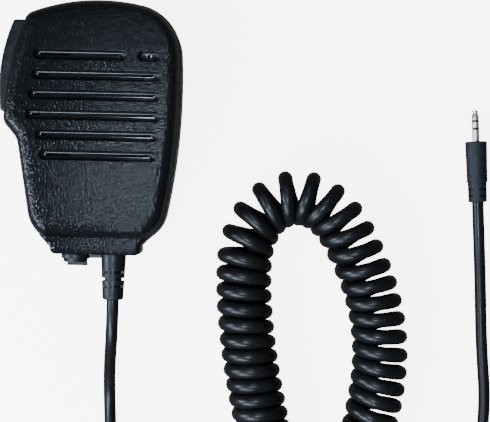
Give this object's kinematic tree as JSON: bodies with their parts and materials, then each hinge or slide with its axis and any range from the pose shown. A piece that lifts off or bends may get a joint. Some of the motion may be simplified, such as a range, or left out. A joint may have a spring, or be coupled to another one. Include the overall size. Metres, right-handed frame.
{
  "type": "hand microphone",
  "caption": "Hand-held speaker microphone with a grille, side talk paddle, rear belt clip, curly cord and small three-contact plug.",
  "frame": {"origin": "centre of the case's base: the middle, seen from above, of the case with its paddle and boot, at the belt clip's outer face, on which it lies", "axes": "+X to the right when the grille faces the viewer, +Y to the top of the case, away from the cord, +Z out of the grille"},
  "size_m": [0.1717, 0.1746, 0.035],
  "materials": {
    "case_plastic": "coarse sparked grain, bluish black",
    "paddle_plastic": "fine diagonal hatch, slight gloss",
    "soft_rubber": "matt grey black",
    "cord_rubber": "satin black jacket",
    "plug_plastic": "satin slate black",
    "clip_plastic": "satin",
    "inner_plastic": "smooth",
    "plug_nickel": "polished nickel",
    "black_insulator": "gloss",
    "steel": "zinc plated",
    "brass_parts": "plain",
    "magnet": "zinc plated",
    "cloth": "woven",
    "cone_paper": "pressed paper",
    "board_green": "solder mask",
    "board_black": "moulded"
  },
  "bodies": {
    "case": {"front_shell": "case_plastic", "rear_shell": "case_plastic", "shell_seal": "soft_rubber", "cord_boot": "soft_rubber", "cap_strap": "soft_rubber", "mic_holder": "soft_rubber", "speaker_gasket": "soft_rubber", "cord_tail": "cord_rubber", "mic_lead": "cord_rubber", "curly_cord": "cord_rubber", "plug_lead": "cord_rubber", "plug_boot": "plug_plastic", "plug_grip": "plug_plastic", "talk_switch": "inner_plastic", "earphone_socket": "inner_plastic", "speaker_posts": "inner_plastic", "clamp_post": "inner_plastic", "plug_sleeve": "plug_nickel", "plug_ring": "plug_nickel", "plug_tip": "plug_nickel", "plug_insulators": "black_insulator", "case_screws": "steel", "board_screws": "steel", "speaker_screws": "steel", "clamp_screw": "steel", "paddle_pin": "steel", "swivel_screw": "steel", "swivel_washer": "steel", "speaker_clamps": "steel", "cord_clamp": "steel", "speaker_frame": "steel", "screw_inserts": "brass_parts", "swivel_insert": "brass_parts", "socket_pins": "brass_parts", "cord_wires": "brass_parts", "speaker_magnet": "magnet", "speaker_cloth": "cloth", "mic_capsule": "cloth", "speaker_cone": "cone_paper", "circuit_board": "board_green", "board_parts": "board_black"},
    "talk_paddle": {"talk_paddle": "paddle_plastic"},
    "switch_plunger": {"switch_plunger": "inner_plastic"},
    "clip_jaw": {"clip_jaw": "clip_plastic", "clip_pin": "steel", "clip_spring": "steel"},
    "clip_lever": {"clip_lever": "clip_plastic", "clip_spring_leg": "steel"},
    "socket_cap": {"socket_cap": "soft_rubber"}
  },
  "joints": [
    {"name": "paddle_press", "type": "hinge", "parent": "case", "child": "talk_paddle", "pos_m": [-0.02035, 0.04045, 0.021], "axis": [0, 0, 1], "range_deg": [0, 3.2], "stiffness_Nm_per_rad": 0.6, "springref_deg": -2.86},
    {"name": "plunger_slide", "type": "slide", "parent": "case", "child": "switch_plunger", "axis": [1, 0, 0], "range_m": [0, 0.0014]},
    {"name": "clip_swivel", "type": "hinge", "parent": "case", "child": "clip_jaw", "pos_m": [0.00325, 0.00965, 0.008], "axis": [0, 0, 1], "continuous": true},
    {"name": "clip_squeeze", "type": "hinge", "parent": "clip_jaw", "child": "clip_lever", "pos_m": [0.00325, 0.02365, 0.0044], "axis": [1, 0, 0], "range_deg": [0, 20], "stiffness_Nm_per_rad": 0.8, "springref_deg": -17.19},
    {"name": "cap_pull", "type": "slide", "parent": "case", "child": "socket_cap", "axis": [0, -1, 0], "range_m": [0, 0.007]}
  ],
  "couplings": [
    {"joint": "plunger_slide", "follows": "paddle_press", "m_per_rad": 0.0238}
  ]
}
